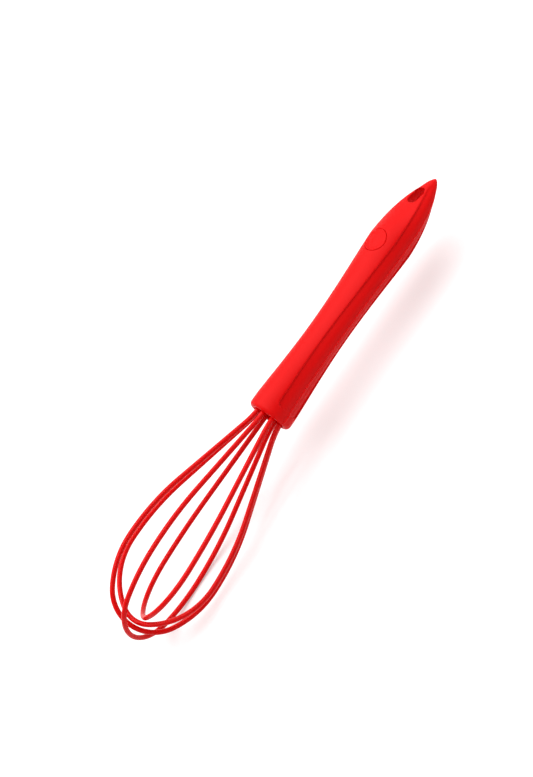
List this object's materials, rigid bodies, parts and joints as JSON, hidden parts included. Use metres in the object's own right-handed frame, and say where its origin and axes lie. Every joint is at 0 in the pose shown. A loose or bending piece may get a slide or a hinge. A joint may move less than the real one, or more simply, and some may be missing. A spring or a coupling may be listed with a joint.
{
  "type": "balloon whisk",
  "caption": "Balloon whisk with a hollow split-shell handle, a hanging hole near its pointed tip and nested silicone-sleeved wire loops held by a plug in its mouth.",
  "frame": {"origin": "centre of the hanging hole, on the plane where the two handle shells meet", "axes": "+X from the handle's tip towards the wire loops, +Z out of the front face that carries the medallion, +Y to the side"},
  "size_m": [0.2799, 0.0526, 0.0533],
  "materials": {
    "shell_plastic": "glossy red moulded plastic",
    "medallion_plastic": "glossy red, plain face",
    "seal_rubber": "dark red, matt",
    "plug_plastic": "dark red, as moulded",
    "resin": "cast, amber",
    "plate_steel": "brushed",
    "crimp_aluminium": "bright",
    "wire_steel": "drawn wire",
    "sleeve_silicone": "glossy red silicone"
  },
  "bodies": {
    "root": {"front_shell": "shell_plastic", "back_shell": "shell_plastic", "medallion": "medallion_plastic", "seal_disc": "seal_rubber", "wire_plug": "plug_plastic", "resin_filling": "resin", "anchor_plate": "plate_steel", "end_crimps": "crimp_aluminium", "wire_core_1": "wire_steel", "wire_core_2": "wire_steel", "wire_core_3": "wire_steel", "wire_core_4": "wire_steel", "wire_sleeve_1": "sleeve_silicone", "wire_sleeve_2": "sleeve_silicone", "wire_sleeve_3": "sleeve_silicone", "wire_sleeve_4": "sleeve_silicone"}
  },
  "joints": []
}
